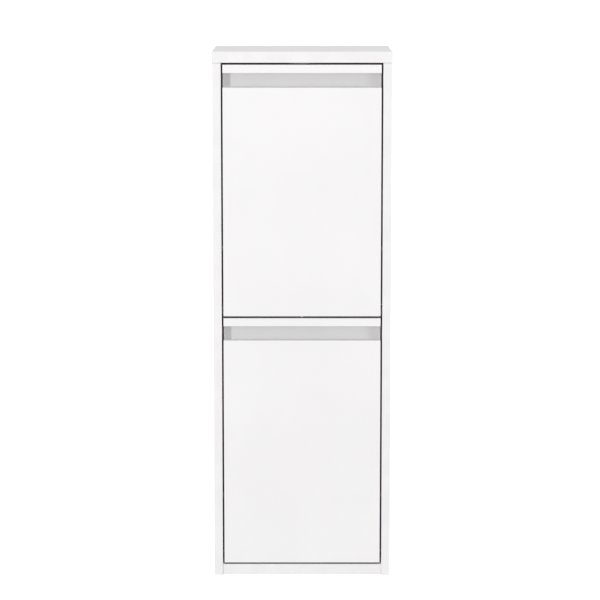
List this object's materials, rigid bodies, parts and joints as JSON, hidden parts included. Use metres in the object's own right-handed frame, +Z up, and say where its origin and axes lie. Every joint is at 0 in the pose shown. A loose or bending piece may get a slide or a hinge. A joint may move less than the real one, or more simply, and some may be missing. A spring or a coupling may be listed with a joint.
{
  "type": "shoe cabinet",
  "caption": "Slim upright shoe cabinet of white boards with inset tilt-out doors, each with a full-width finger recess and a plastic-sided shoe insert.",
  "frame": {"origin": "on the floor, at the middle of the footprint (the top panel's front edge to the side panels' rear edges)", "axes": "+X to the right seen from the front, +Y to the wall behind, +Z up; the doors face -Y"},
  "size_m": [0.377, 0.29, 1.118],
  "materials": {
    "white_board": "white melamine-faced board, satin",
    "white_hardboard": "painted hardboard, satin",
    "white_plastic": "moulded, matt",
    "plated_steel": "zinc-plated",
    "zinc_fittings": "zinc-plated, dull",
    "beech_dowel": "fluted beech, unfinished",
    "magnet": "ferrite with steel poles",
    "buffer": "soft white dome"
  },
  "bodies": {
    "cabinet": {"top_panel": "white_board", "left_side_panel": "white_board", "right_side_panel": "white_board", "bottom_panel": "white_board", "mid_shelf": "white_board", "back_panel": "white_hardboard", "top_cam_locks": "zinc_fittings", "top_cam_bolts": "plated_steel", "top_dowels": "beech_dowel", "shelf_cam_locks": "zinc_fittings", "shelf_cam_bolts": "plated_steel", "shelf_dowels": "beech_dowel", "bottom_cam_locks": "zinc_fittings", "bottom_cam_bolts": "plated_steel", "bottom_dowels": "beech_dowel", "left_wall_bracket": "plated_steel", "right_wall_bracket": "plated_steel", "wall_bracket_screws": "zinc_fittings", "upper_catch_housing": "white_plastic", "upper_catch_magnet": "magnet", "lower_catch_housing": "white_plastic", "lower_catch_magnet": "magnet", "catch_screws": "zinc_fittings", "upper_pivot_bushes": "white_plastic", "lower_pivot_bushes": "white_plastic", "upper_stop_pegs": "white_plastic", "lower_stop_pegs": "white_plastic"},
    "upper_flap": {"upper_door_board": "white_board", "upper_top_strip": "white_board", "upper_grip_rail": "white_board", "upper_left_bracket": "white_plastic", "upper_right_bracket": "white_plastic", "upper_front_row_floor": "white_hardboard", "upper_row_divider": "white_hardboard", "upper_rear_row_floor": "white_hardboard", "upper_rear_row_back": "white_hardboard", "upper_pivot_pins": "plated_steel", "upper_bracket_screws": "zinc_fittings", "upper_rail_screws": "zinc_fittings", "upper_strike_plate": "plated_steel", "upper_strike_screws": "zinc_fittings", "upper_gap_buffer": "buffer"},
    "lower_flap": {"lower_door_board": "white_board", "lower_top_strip": "white_board", "lower_grip_rail": "white_board", "lower_left_bracket": "white_plastic", "lower_right_bracket": "white_plastic", "lower_front_row_floor": "white_hardboard", "lower_row_divider": "white_hardboard", "lower_rear_row_floor": "white_hardboard", "lower_rear_row_back": "white_hardboard", "lower_pivot_pins": "plated_steel", "lower_bracket_screws": "zinc_fittings", "lower_rail_screws": "zinc_fittings", "lower_strike_plate": "plated_steel", "lower_strike_screws": "zinc_fittings"}
  },
  "joints": [
    {"name": "upper_flap_tilt", "type": "hinge", "parent": "cabinet", "child": "upper_flap", "pos_m": [0, -0.1345, 0.5845], "axis": [1, 0, 0], "range_deg": [0, 50]},
    {"name": "lower_flap_tilt", "type": "hinge", "parent": "cabinet", "child": "lower_flap", "pos_m": [0, -0.1345, 0.051], "axis": [1, 0, 0], "range_deg": [0, 50]}
  ]
}
